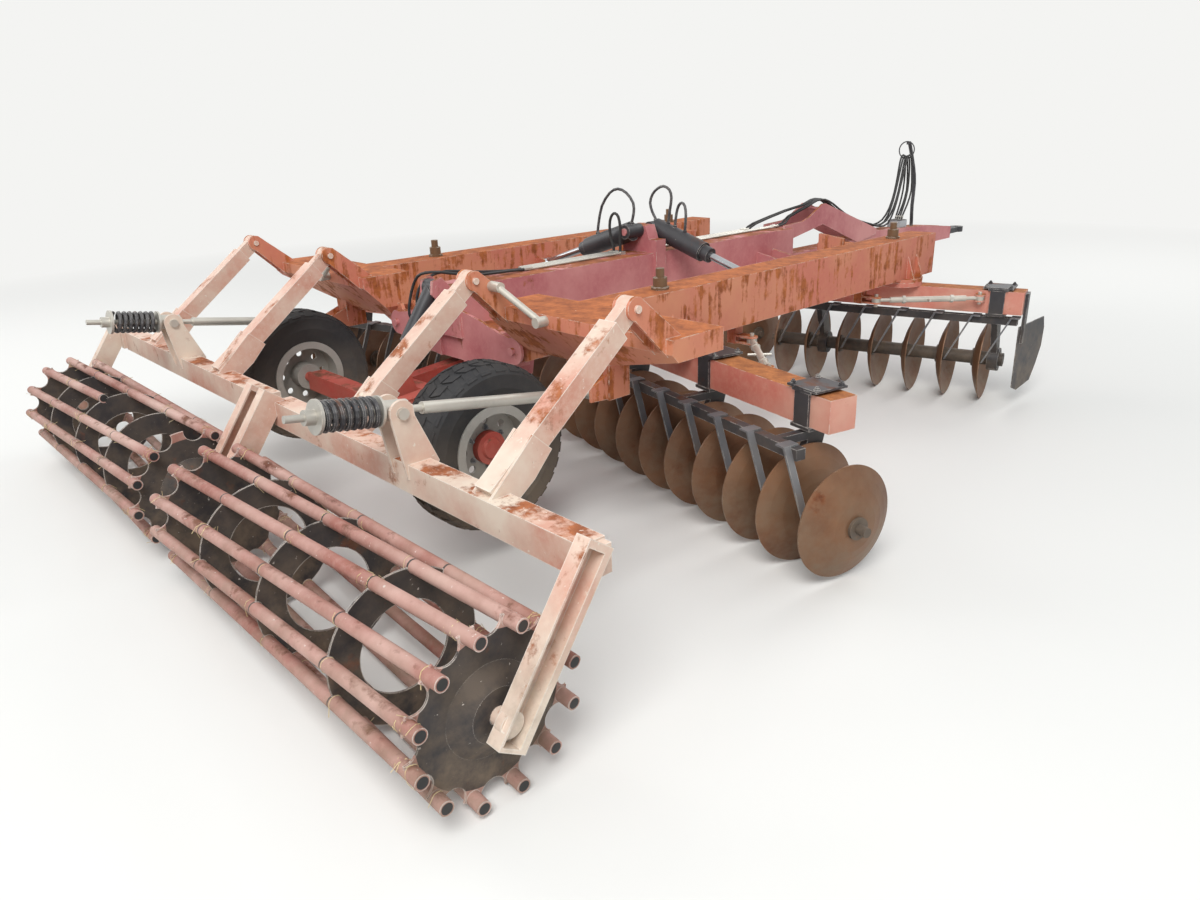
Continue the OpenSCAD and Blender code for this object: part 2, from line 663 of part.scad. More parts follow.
// wire swept along a helix round the Z axis, from z0 to z0 + h
module coil(coil_r, wire_r, z0, h, turns) {
    steps = round(turns * 16);
    ring_tube([for (i = [0:steps]) let (a = 360 * turns * i / steps, z = z0 + h * i / steps)
                   for (b = [0:45:315]) let (r = coil_r + wire_r * cos(b))
                       [r * cos(a), r * sin(a), z + wire_r * sin(b)]], 8);
}

// a point between p[i] and p[i + 1] on a smooth curve through all the points
function between(p, i, t) =
    let (a = p[max(i - 1, 0)], b = p[i], c = p[i + 1], d = p[min(i + 2, len(p) - 1)])
    b + 0.5 * t * (c - a + t * (2 * a - 5 * b + 4 * c - d + t * (3 * b - a - 3 * c + d)));

function smooth(p) = [for (i = [0:len(p) - 2], t = [0, 0.5]) between(p, i, t), p[len(p) - 1]];

// a hose of radius r through the given points; side is a direction that the hose never runs along
module hose(points, r, side) {
    c = smooth(points);
    n = len(c) - 1;
    ring_tube([for (i = [0:n])
                   let (t = c[min(i + 1, n)] - c[max(i - 1, 0)], u = cross(t, side) / norm(cross(t, side)),
                        v = cross(u, t) / norm(cross(u, t)))
                   for (b = [0:45:315]) c[i] + r * (cos(b) * u + sin(b) * v)], 8);
}

module springs(s) {
    color("black") on_side(s) along(rod_at(1072), rod_at(1300))
        coil(50, 11, 11 + slack, 206 - slack, 7.5);
}

module spring_rods(s) {
    color("silver") on_side(s) {
        rod(rod_at(0), rod_at(1420), 14);
        rod(rod_at(120), rod_at(880), 24);
        pin_x(spring_x - 42 + slack, spring_x + 42 - slack, spring_front[0], spring_front[1], 30);
        rod(rod_at(1062), rod_at(1072), 60);
        rod(rod_at(1300 + slack), rod_at(1312), 64);
        rod(rod_at(1312), rod_at(1350), 28);
        pin_x(spring_x - 74, spring_x + 74, spring_pin[0], spring_pin[1], 22);
        rod(rod_at(950), rod_at(1062), 40);
    }
}

module scalloped_plate(t) {
    linear_extrude(t) difference() {
        circle(r = ring_r + 14, $fn = 96);
        for (k = [0:rtubes - 1]) rotate((k + 0.5) * 360 / rtubes) translate([ring_r + 8, 0]) circle(r = 47);
    }
}

module roller(s) {
    inner = s > 0 ? 63.6 : 34.9;
    turn = s > 0 ? -twist : twist + 1;
    color("rosybrown") on_side(s) translate([0, 0, roll_z]) rotate([90, 0, 90]) difference() {
        union() {
            for (k = [0:rtubes - 1]) {
                a = inner + k * 360 / rtubes;
                cut = s < 0 && k == broken ? 0.5 : 0;
                p = [ring_r * cos(a + cut * turn), ring_r * sin(a + cut * turn),
                     roll_x0 + cut * (roll_x1 - roll_x0)];
                q = [ring_r * cos(a + turn), ring_r * sin(a + turn), roll_x1];
                along(p, q) rotate(10) cylinder(h = norm(q - p), r = rtube_r);
            }
            for (x = [roll_x0 + 62, roll_x1 - 70]) translate([0, 0, x])
                rotate(inner + turn * (x + 4 - roll_x0) / (roll_x1 - roll_x0)) scalloped_plate(8);
            for (k = [1:3]) translate([0, 0, roll_x0 + k * (roll_x1 - roll_x0) / 4]) difference() {
                cylinder(h = 8, r = ring_r - 6, $fn = 96);
                translate([0, 0, -1]) cylinder(h = 10, r = 165, $fn = 96);
            }
            translate([0, 0, roll_x1 - 64]) cylinder(h = 40, r1 = 160, r2 = 90);
            translate([0, 0, roll_x0 + 26]) cylinder(h = 38, r1 = 90, r2 = 160);
        }
        translate([0, 0, roll_x1 - 72]) cylinder(h = 90, r = 30);
        translate([0, 0, roll_x0 - 10]) cylinder(h = 85, r = 30);
    }
}

// Fold cylinders
function ram_dir() = let (d = ram_eye - [0, tower_z]) d / norm(d);
function ram_p(l, y) = [ram_dir()[0] * l, y, tower_z + ram_dir()[1] * l];

// hose ports along each fold barrel, and the top of the port at x
function port_xs(s) = s > 0 ? [112, 170, 255] : [322];
function port_z(x) = tower_z - 0.3125 * x + (x > 0 ? 76 : 56);

// the hoses that loop from port to port over a fold barrel
module barrel_hoses(s) {
    y = ram_y[s > 0 ? 1 : 0];
    if (s < 0) hose([[322, y, port_z(322) + slack], [312, y, 1275], [274, y, 1390], [196, y, 1475],
                     [120, y, 1502], [44, y, 1480], [-16, y, 1420], [-18, y, 1355],
                     [0, y, port_z(0) + slack]], 9, [0, 1, 0]);
    if (s > 0) {
        hose([[0, y, port_z(0) + slack], [-30, y, 1345], [-48, y, 1400], [-26, y, 1455], [20, y, 1492],
              [72, y, 1508], [122, y, 1488], [140, y, 1440], [128, y, 1370],
              [112, y, port_z(112) + slack]], 9, [0, 1, 0]);
        hose([[170, y, port_z(170) + slack], [172, y + 12, 1340], [184, y + 20, 1390], [210, y + 22, 1408],
              [238, y + 18, 1390], [256, y + 8, 1335], [255, y, port_z(255) + slack]], 9, [0.2, 1, 0]);
    }
}

module fold_barrel(s) {
    y = ram_y[s > 0 ? 1 : 0];
    color("black") on_side(s) difference() {
        union() {
            rod(ram_p(0, y), ram_p(430, y), ram_r);
            rod(ram_p(420, y), ram_p(490, y), 48);
            pin_y(0, y - ram_r - 5 + slack, y + ram_r + 5 - slack, tower_z, 44);
            for (x = port_xs(s)) pin_z(x, y, tower_z - 0.31 * x, port_z(x), 13);
            pin_z(0, y, tower_z, port_z(0), 13);
        }
        pin_y(0, y - ram_r - 6, y + ram_r + 6, tower_z, tower_pin_r + slack);
        rod(ram_p(50, y), ram_p(470, y), 44);
        rod(ram_p(50, y), ram_p(495, y), ram_rod_r + slack);
    }
    color("black") on_side(s) barrel_hoses(s);
}

module fold_rod(s) {
    y = ram_y[s > 0 ? 1 : 0];
    color("silver") on_side(s) {
        rod(ram_p(440, y), ram_p(norm(ram_eye - [0, tower_z]), y), ram_rod_r);
        rod(ram_p(440, y), ram_p(462, y), 44 - slack);
        pin_y(ram_eye[0], y - 32, y + 32, ram_eye[1], 34);
        pin_y(ram_eye[0], y - 44 + slack, y + 44 - slack, ram_eye[1], 14);
    }
}

// Gangs
// a disc is flat out to flat_r and dished from there to its rim
function dish_x(r, big) = r < flat_r ? 0 : disc_dish * pow((r - flat_r) / (big - flat_r), 1.6);

function disc_stations(r) = concat([22.3], [for (k = [0:4]) flat_r + (r - flat_r) * k / 4]);

module disc(r, face) {
    rotate_extrude($fn = 64) polygon(concat(
        [for (q = disc_stations(r)) [q, -face * dish_x(q, r)]],
        [for (k = [5:-1:0]) let (q = disc_stations(r)[k]) [q, -face * dish_x(q, r) - disc_t]]));
}

module disc_row(n, first, face) {
    for (k = [0:n - 1]) translate([first - k * disc_pitch, 0, disc_r]) rotate([0, 90, 0])
        disc(k == 0 && n == rear_discs ? end_disc_r : disc_r, face);
}

module shaft_row(n, first) {
    gap = disc_pitch - disc_t - 2 * seat;
    for (k = [0:n - 2]) translate([first - (k + 1) * disc_pitch + seat, 0, disc_r]) rotate([0, 90, 0]) {
        cylinder(h = gap, r = spool_r);
        cylinder(h = 14, r = 62);
        translate([0, 0, gap - 14]) cylinder(h = 14, r = 62);
    }
    pin_x(first + seat, first + 14, 0, disc_r, 50);
    pin_x(first + seat, first + 60, 0, disc_r, 22);
    last = first - (n - 1) * disc_pitch - disc_t - seat;
    pin_x(last - 54, last, 0, disc_r, 22);
    pin_x(last - 18, last, 0, disc_r, 50);
}

module rear_gang_discs(s) {
    color("saddlebrown") on_side(s) gang_frame(rear_pivot, -rear_angle) disc_row(rear_discs, rear_u(0), 1);
}

module rear_shaft(s) {
    color("black") on_side(s) gang_frame(rear_pivot, -rear_angle) shaft_row(rear_discs, rear_u(0));
}

module front_gang_discs(s) {
    color("saddlebrown") on_side(s) gang_frame(front_pivot, front_angle)
        disc_row(front_discs, front_u(0), -1);
}

module front_shaft(s) {
    color("black") on_side(s) gang_frame(front_pivot, front_angle) {
        shaft_row(front_discs, front_u(0));
        pin_x(front_u(0) + seat, front_u(-0.75), 0, disc_r, spool_r);
    }
}

main_beam();
tower();
drawbar();
hitch_eye();
hydraulic_pipes();
hoses();
hose_stand();
axle_frame();
lift_barrel();
lift_rod();
tyre(-1);  // tyre_left
tyre(1);  // tyre_right
wheel(-1);  // wheel_left
wheel(1);  // wheel_right
wing_frame(-1);  // wing_frame_left
wing_frame(1);  // wing_frame_right
gang_arms(-1);  // gang_arms_left
gang_arms(1);  // gang_arms_right
gang_hangers(-1);  // gang_hangers_left
gang_hangers(1);  // gang_hangers_right
scrapers(-1);  // scrapers_left
scrapers(1);  // scrapers_right
side_shield(-1);  // side_shield_left
side_shield(1);  // side_shield_right
adjusters(-1);  // adjusters_left
adjusters(1);  // adjusters_right
roller_frame(-1);  // roller_frame_left
roller_frame(1);  // roller_frame_right
springs(-1);  // springs_left
springs(1);  // springs_right
spring_rods(-1);  // spring_rods_left
spring_rods(1);  // spring_rods_right
fold_barrel(-1);  // fold_barrel_left
fold_barrel(1);  // fold_barrel_right
fold_rod(-1);  // fold_rod_left
fold_rod(1);  // fold_rod_right
rear_gang_discs(-1);  // rear_discs_left
rear_gang_discs(1);  // rear_discs_right
rear_shaft(-1);  // rear_shaft_left
rear_shaft(1);  // rear_shaft_right
front_gang_discs(-1);  // front_discs_left
front_gang_discs(1);  // front_discs_right
front_shaft(-1);  // front_shaft_left
front_shaft(1);  // front_shaft_right
roller(-1);  // roller_left
roller(1);  // roller_right
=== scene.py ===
import math
import random

import bmesh
import bpy
from mathutils import Matrix, Vector


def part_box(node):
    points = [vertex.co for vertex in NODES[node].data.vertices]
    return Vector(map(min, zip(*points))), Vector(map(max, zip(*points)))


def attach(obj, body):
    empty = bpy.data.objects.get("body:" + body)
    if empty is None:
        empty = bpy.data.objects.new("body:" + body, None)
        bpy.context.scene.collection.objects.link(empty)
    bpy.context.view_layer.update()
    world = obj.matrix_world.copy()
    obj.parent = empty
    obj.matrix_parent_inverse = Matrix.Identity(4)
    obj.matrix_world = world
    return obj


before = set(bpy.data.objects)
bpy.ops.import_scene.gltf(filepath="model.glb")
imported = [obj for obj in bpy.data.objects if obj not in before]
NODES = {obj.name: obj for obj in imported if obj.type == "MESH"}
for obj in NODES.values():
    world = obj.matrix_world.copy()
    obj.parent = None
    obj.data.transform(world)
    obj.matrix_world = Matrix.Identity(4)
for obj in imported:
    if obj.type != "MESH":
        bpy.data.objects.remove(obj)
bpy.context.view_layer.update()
SIDES = (("left", -1), ("right", 1))
UP = Vector((0, 0, 1))
HEXAGON = 6
GRASS_SEED = 7
rng = random.Random(GRASS_SEED)

# The CAD sizes are in millimetres from the roller axis, the scene is in metres in the part's
# frame. SHIFT is the Y of the roller axis there.
SHIFT = -3.6275


def mm(x, y, z):
    """A place that is given as the CAD sizes are."""
    return Vector((x / 1000, y / 1000 + SHIFT, z / 1000))


def round_x(x, r, t):
    """A place at x, r away from the X axis and turned by t about it."""
    return Vector((x, r * math.cos(t), r * math.sin(t)))


def middle(box):
    """The middle of a box that is given by two corners."""
    low, high = box
    return (Vector(low) + Vector(high)) / 2


def rectangle(x0, y0, x1, y1):
    return [(x0, y0), (x1, y0), (x1, y1), (x0, y1)]


def srgb(r, g, b):
    """0-255 screen colour as linear light."""
    out = []
    for c in (r, g, b):
        c = c / 255
        out.append(c / 12.92 if c <= 0.04045 else ((c + 0.055) / 1.055) ** 2.4)
    return (*out, 1.0)


# Camera: the photograph's viewing angle, solved from the two mirrored halves
CAMERA_PLACE = Vector((3.957, -4.7695, 1.894))
CAMERA_YAW = 47.3
CAMERA_PITCH = 20.93
CAMERA_ROLL = -2.06
CAMERA_SENSOR = 36
CAMERA_LENS = 25.538
CAMERA_CLIP = (0.05, 200)


def make_camera():
    yaw = math.radians(CAMERA_YAW)
    pitch = math.radians(CAMERA_PITCH)
    roll = math.radians(CAMERA_ROLL)
    flat = math.cos(pitch)
    forward = Vector((-math.sin(yaw) * flat, math.cos(yaw) * flat, -math.sin(pitch)))
    level = Vector((math.cos(yaw), math.sin(yaw), 0))
    above = level.cross(forward)
    right = level * math.cos(roll) + above * math.sin(roll)
    up = above * math.cos(roll) - level * math.sin(roll)
    data = bpy.data.cameras.new("camera")
    data.sensor_width = CAMERA_SENSOR
    data.lens = CAMERA_LENS
    data.clip_start, data.clip_end = CAMERA_CLIP
    cam = bpy.data.objects.new("camera", data)
    bpy.context.scene.collection.objects.link(cam)
    rows = [(right[i], up[i], -forward[i], CAMERA_PLACE[i]) for i in range(3)]
    cam.matrix_world = Matrix((*rows, (0, 0, 0, 1)))
    bpy.context.scene.camera = cam


make_camera()


# Materials. Noise patterns: scale, detail and roughness
PATTERNS = {
    "chalk": (2.3, 5, 0.55),
    "fine": (31, 8, 0.7),
    "rust": (5.5, 10, 0.68),
    "runs": (9, 6, 0.62),
    "rust_shade": (14, 8, 0.7),
    "edges": (17, 6, 0.7),
    "spots": (46, 5, 0.62),
    "soil": (8, 8, 0.65),
}
# Where each pattern starts to show, and where it is full
CHALK_RANGE = (0.36, 0.66)
FINE_RANGE = (0.45, 0.7)
UPWARD_RANGE = (0.55, 0.95)
RUNS_RANGE = (0.42, 0.72)
SHADE_RANGE = (0.35, 0.65)
# How strongly the fine pattern whitens the paint and lifts the bump
FINE_CHALK = 0.35
FINE_BUMP = 0.5
# Rust: its share on upward faces and in runs, and the level where it starts
RUST_UPWARD = 0.34
RUST_RUNS = 0.3
RUN_STRETCH = (2.2, 2.2, 0.22)
RUST_LEVEL = 0.74
RUST_GROWTH = 0.26
RUST_BLEND = 0.1
RUST_DARK = (0.42, 0.34, 0.3)
RUST_ROUGH = 0.22
# Chips: radius and range of a worn edge, the patterns' ranges, and how far chips moves them
EDGE_RADIUS = 0.007
EDGE_RANGE = (0.02, 0.14)
EDGE_CHIPS = (0.6, 0.72)
EDGE_GROWTH = 0.3
SPOT_CHIPS = (0.8, 0.83)
SPOT_GROWTH = 0.16
SPOT_SHARE = 0.8
BEVEL_SAMPLES = 6
# Mud: from none to full height, the pattern's range, and how far mud moves each end of it
MUD_HEIGHT = (0.75, 0.05)
MUD_RANGE = (0.5, 0.75)
MUD_GROWTH = (0.35, 0.3)
MUD_SHARE = 0.75
MUD_COLOUR = (126, 108, 88)
BUMP_STRENGTH = 0.35
BUMP_DISTANCE = 0.002


class Nodes:
    """Short ways to add shader nodes to one material."""

    def __init__(self, name):
        self.mat = bpy.data.materials.new(name)
        self.mat.use_nodes = True
        self.tree = self.mat.node_tree
        self.shader = self.tree.nodes["Principled BSDF"]
        self.coord = self.tree.nodes.new("ShaderNodeTexCoord")

    def add(self, kind, **values):
        n = self.tree.nodes.new(kind)
        for k, v in values.items():
            setattr(n, k, v)
        return n

    def link(self, a, b):
        self.tree.links.new(a, b)

    def put(self, socket, value):
        if isinstance(value, (int, float, tuple)):
            socket.default_value = value
        else:
            self.link(value, socket)

    def noise(self, pattern, stretch=(1, 1, 1)):
        m = self.add("ShaderNodeMapping")
        self.link(self.coord.outputs["Object"], m.inputs["Vector"])
        m.inputs["Scale"].default_value = stretch
        n = self.add("ShaderNodeTexNoise")
        self.link(m.outputs["Vector"], n.inputs["Vector"])
        for name, value in zip(("Scale", "Detail", "Roughness"), PATTERNS[pattern]):
            n.inputs[name].default_value = value
        return n.outputs["Fac"]

    def math(self, op, a, b=0.0, clamp=False):
        n = self.add("ShaderNodeMath", operation=op, use_clamp=clamp)
        self.put(n.inputs[0], a)
        self.put(n.inputs[1], b)
        return n.outputs[0]

    def length(self, a, b):
        """The length of the vector with parts a and b."""
        squares = self.math("ADD", self.math("MULTIPLY", a, a), self.math("MULTIPLY", b, b))
        return self.math("SQRT", squares)

    def ramp(self, value, low, high):
        """0 below low, 1 above high, straight between."""
        n = self.add("ShaderNodeMapRange")
        self.put(n.inputs["Value"], value)
        n.inputs["From Min"].default_value = low
        n.inputs["From Max"].default_value = high
        return n.outputs["Result"]

    def slab(self, value, centre, half):
        """1 where value lies within half of centre."""
        away = self.math("ABSOLUTE", self.math("SUBTRACT", value, centre))
        return self.math("LESS_THAN", away, half)

    def mix(self, fac, a, b):
        n = self.add("ShaderNodeMix", data_type="RGBA")
        for socket, value in ((0, fac), (6, a), (7, b)):
            self.put(n.inputs[socket], value)
        return n.outputs[2]

    def part(self, output, axis):
        n = self.add("ShaderNodeSeparateXYZ")
        self.link(self.coord.outputs[output], n.inputs[0])
        return n.outputs[axis]

    def edges(self):
        """1 on the sharp edges, from the difference that a rounded normal makes."""
        b = self.add("ShaderNodeBevel", samples=BEVEL_SAMPLES)
        b.inputs["Radius"].default_value = EDGE_RADIUS
        g = self.add("ShaderNodeNewGeometry")
        d = self.add("ShaderNodeVectorMath", operation="DOT_PRODUCT")
        self.link(b.outputs[0], d.inputs[0])
        self.link(g.outputs["Normal"], d.inputs[1])
        return self.ramp(self.math("SUBTRACT", 1.0, d.outputs["Value"]), *EDGE_RANGE)

    def bump(self, height):
        n = self.add("ShaderNodeBump")
        n.inputs["Strength"].default_value = BUMP_STRENGTH
        n.inputs["Distance"].default_value = BUMP_DISTANCE
        self.link(height, n.inputs["Height"])
        self.link(n.outputs["Normal"], self.shader.inputs["Normal"])


def worn_paint(name, paint, chalk, rust, chip, rusty, top=0.0, streak=0.0, chips=0.0, mud=0.0,
               rough=0.62, metal=0.0, other=None):
    """Old paint in 0-255 screen colours: blotches of chalk, rust that grows on upward faces (top) and
    runs down the sides (streak), edges and spots worn to a lighter or darker chip, and mud low down.
    other is (colour, mask), a second colour where mask(n) is 1."""
    paint, chalk, rust, chip = (srgb(*c) for c in (paint, chalk, rust, chip))
    n = Nodes(name)
    blotch = n.ramp(n.noise("chalk"), *CHALK_RANGE)
    fine = n.noise("fine")
    colour = n.mix(blotch, paint, chalk)
    colour = n.mix(n.math("MULTIPLY", n.ramp(fine, *FINE_RANGE), FINE_CHALK), colour, chalk)
    up = n.ramp(n.part("Normal", 2), *UPWARD_RANGE)
    if other:
        colour = n.mix(other[1](n), colour, srgb(*other[0]))
    rust_mask = n.noise("rust")
    level = n.math("ADD", rust_mask, n.math("MULTIPLY", up, top * RUST_UPWARD))
    if streak:
        runs = n.ramp(n.noise("runs", RUN_STRETCH), *RUNS_RANGE)
        level = n.math("ADD", level, n.math("MULTIPLY", runs, streak * RUST_RUNS))
    start = RUST_LEVEL - rusty * RUST_GROWTH
    rust_fac = n.ramp(level, start, start + RUST_BLEND)
    rust_dark = (*(c * share for c, share in zip(rust, RUST_DARK)), 1.0)
    rust_col = n.mix(n.ramp(n.noise("rust_shade"), *SHADE_RANGE), rust, rust_dark)
    colour = n.mix(rust_fac, colour, rust_col)
    if chips:
        worn = n.ramp(n.noise("edges"), *(c - chips * EDGE_GROWTH for c in EDGE_CHIPS))
        edge = n.math("MULTIPLY", n.edges(), worn)
        spots = n.ramp(n.noise("spots"), *(c - chips * SPOT_GROWTH for c in SPOT_CHIPS))
        colour = n.mix(n.math("MAXIMUM", edge, n.math("MULTIPLY", spots, SPOT_SHARE)), colour, chip)
    if mud:
        low = n.ramp(n.part("Object", 2), *MUD_HEIGHT)
        soil = n.ramp(n.noise("soil"), *(c - mud * g for c, g in zip(MUD_RANGE, MUD_GROWTH)))
        soil = n.math("MULTIPLY", n.math("MULTIPLY", low, soil), MUD_SHARE)
        colour = n.mix(soil, colour, srgb(*MUD_COLOUR))
    n.link(colour, n.shader.inputs["Base Color"])
    rusty_rough = n.math("MULTIPLY", rust_fac, RUST_ROUGH)
    n.link(n.math("ADD", rough, rusty_rough, clamp=True), n.shader.inputs["Roughness"])
    n.shader.inputs["Metallic"].default_value = metal
    n.bump(n.math("ADD", n.math("MULTIPLY", fine, FINE_BUMP), rust_mask))
    return n.mat


# Masks for a second colour on one CAD node. A plate is (middle, half thickness) along X
ROLLER_X = (0.122, 2.27)
ROLLER_AXIS = mm(0, 0, 307)
END_PLATES = ((0.169, 0.0235), (2.224, 0.0245))
END_PLATE_R = 0.256
RINGS = 3
RING_PLATE = (0.004, 0.0042)
VALVE_TOP = 0.9905
VALVE_FRONT = 2.73
SPINDLE_NUTS_FROM = 1.106
LINK_RODS_TO = -2.0


def roller_plates(n):
    """The roller's end plates, bearing cones and three rings, which are dark; the tubes are not."""
    x = n.math("ABSOLUTE", n.part("Object", 0))
    y = n.math("SUBTRACT", n.part("Object", 1), ROLLER_AXIS[1])
    z = n.math("SUBTRACT", n.part("Object", 2), ROLLER_AXIS[2])
    inside = n.math("LESS_THAN", n.length(y, z), END_PLATE_R)
    ends = n.math("MAXIMUM", *(n.slab(x, *plate) for plate in END_PLATES))
    mask = n.math("MULTIPLY", ends, inside)
    span = (ROLLER_X[1] - ROLLER_X[0]) / (RINGS + 1)
    off, half = RING_PLATE
    for k in range(1, RINGS + 1):
        mask = n.math("MAXIMUM", mask, n.slab(x, ROLLER_X[0] + k * span + off, half))
    return mask


def valve_block(n):
    """The valve block's bare metal, low on the hose stand."""
    low = n.math("LESS_THAN", n.part("Object", 2), VALVE_TOP)
    return n.math("MULTIPLY", low, n.math("LESS_THAN", n.part("Object", 1), VALVE_FRONT))


def spindle_nuts(n):
    """The rusty nuts of the gang spindles on top of the wing beams, without the link rods behind."""
    high = n.math("GREATER_THAN", n.part("Object", 2), SPINDLE_NUTS_FROM)
    return n.math("MULTIPLY", high, n.math("GREATER_THAN", n.part("Object", 1), LINK_RODS_TO))


RUST = (166, 96, 52)
CREAM = (214, 196, 180)
MAUVE = (178, 100, 104)
RED = (168, 58, 48)
BLACK = (38, 38, 42)
BLACK_RUST = (104, 64, 44)
BARE_STEEL = (176, 172, 166)

MATS = {
    "chassis": worn_paint("chassis_paint", MAUVE, (206, 142, 138), RUST, CREAM, rusty=0.35, top=0.7,
                          streak=0.3, chips=0.4, mud=0.1),
    "wing": worn_paint("wing_paint", (194, 112, 92), (204, 136, 102), (188, 108, 56), CREAM,
                       rusty=0.6, top=1.0, streak=0.9, chips=0.5, mud=0.1),
    "arm": worn_paint("arm_paint", (200, 144, 124), (222, 206, 188), (176, 104, 62), (226, 218, 206),
                      rusty=0.42, top=0.35, streak=0.3, chips=0.9, mud=0.25),
    "gang_arm": worn_paint("gang_arm_paint", (198, 112, 96), (212, 160, 140), (186, 116, 62), CREAM,
                           rusty=0.4, top=1.4, streak=0.2, chips=0.5, mud=0.15),
    "red": worn_paint("red_paint", RED, (186, 92, 80), (122, 66, 44), (150, 110, 96),
                      rusty=0.3, top=0.4, streak=0.2, chips=0.3, mud=0.6),
    "black": worn_paint("black_paint", BLACK, (62, 60, 62), BLACK_RUST, BARE_STEEL,
                        rusty=0.36, top=0.3, streak=0.2, chips=0.55, mud=0.4, rough=0.5),
    "shaft": worn_paint("shaft_steel", (44, 40, 40), (74, 66, 60), (112, 68, 44), (120, 108, 96),
                        rusty=0.5, top=0.2, chips=0.3, mud=0.6, rough=0.6),
    "disc": worn_paint("disc_steel", (104, 68, 46), (134, 96, 68), (138, 82, 46), (160, 140, 120),
                       rusty=0.55, chips=0.35, mud=0.35, rough=0.5, metal=0.35),
    "roller": worn_paint("roller_paint", (150, 92, 80), (196, 160, 148), (122, 72, 52), (216, 206, 196),
                         rusty=0.55, top=0.2, chips=0.75, mud=0.35, rough=0.66,
                         other=((52, 48, 48), roller_plates)),
    "stand": worn_paint("stand_paint", BLACK, (66, 64, 66), BLACK_RUST, BARE_STEEL,
                        rusty=0.3, top=0.2, chips=0.3, rough=0.5, other=((172, 174, 176), valve_block)),
    "straw": worn_paint("straw", (196, 172, 124), (214, 198, 158), (140, 112, 76), (200, 184, 140),
                        rusty=0.3, rough=0.85),
    "zinc": worn_paint("zinc_steel", (176, 172, 164), (204, 200, 190), (140, 112, 86), (220, 216, 206),
                       rusty=0.3, chips=0.3, mud=0.1, rough=0.42, metal=0.6),
    "adjuster": worn_paint("adjuster_steel", (168, 162, 152), (204, 198, 186), (140, 104, 76),
                           (220, 216, 206), rusty=0.42, chips=0.4, mud=0.1, rough=0.48, metal=0.5,
                           other=((118, 92, 68), spindle_nuts)),
    "grey": worn_paint("grey_steel", (92, 98, 108), (122, 122, 124), (110, 72, 50), (176, 176, 172),
                       rusty=0.4, chips=0.5, mud=0.4, rough=0.5, metal=0.4),
    "rim": worn_paint("rim_paint", (150, 148, 142), (172, 168, 160), (120, 84, 60), (190, 188, 182),
                      rusty=0.42, chips=0.3, mud=0.7, rough=0.55, metal=0.1),
    "tyre": worn_paint("tyre_rubber", (40, 40, 42), (66, 64, 62), (86, 76, 66), (84, 78, 72),
                       rusty=0.25, mud=0.7, rough=0.85),
    "chrome": worn_paint("chrome_rod", (190, 192, 196), (160, 160, 162), (140, 120, 100),
                         (210, 210, 212), rusty=0.05, rough=0.18, metal=0.9),
    "rubber": worn_paint("hose_rubber", (26, 26, 28), (50, 48, 46), (70, 62, 54), (70, 66, 62),
                         rusty=0.1, rough=0.6),
}

LOOK = {
    "main_beam": "chassis", "tower": "chassis", "drawbar": "chassis", "hitch_eye": "black",
    "hydraulic_pipes": "zinc", "hoses": "rubber", "hose_stand": "stand", "axle_frame": "red",
    "lift_barrel": "black", "lift_rod": "chrome", "tyre": "tyre", "wheel": "rim", "wing_frame": "wing",
    "gang_arms": "gang_arm", "gang_hangers": "black", "scrapers": "grey", "side_shield": "black",
    "adjusters": "adjuster", "roller_frame": "arm", "springs": "black", "spring_rods": "zinc",
    "fold_barrel": "black", "fold_rod": "chrome", "rear_discs": "disc", "front_discs": "disc",
    "rear_shaft": "shaft", "front_shaft": "shaft", "roller": "roller",
}

for node_name, obj in NODES.items():
    obj.data.materials.clear()
    obj.data.materials.append(MATS[LOOK[node_name.removesuffix("_left").removesuffix("_right")]])


# Small pieces, each one mesh that rides on a CAD body.
WASHER_SUNK = 0.001
WASHER_TOP = 0.003
WASHER_SIDES = 14
THREAD_SIDES = 8
# Shares of the radius of a bolt's head
WASHER_WIDE = 1.35
HEAD_TALL = 0.95
THREAD_WIDE = 0.55


def ring(place, along, r, sides, first=0.0):
    """Points round place, square to along; first is the first point's share of a step."""
    turn = along.to_track_quat("Z", "Y")
    steps = [2 * math.pi * (i + first) / sides for i in range(sides)]
    return [place + turn @ Vector((r * math.cos(t), r * math.sin(t), 0)) for t in steps]


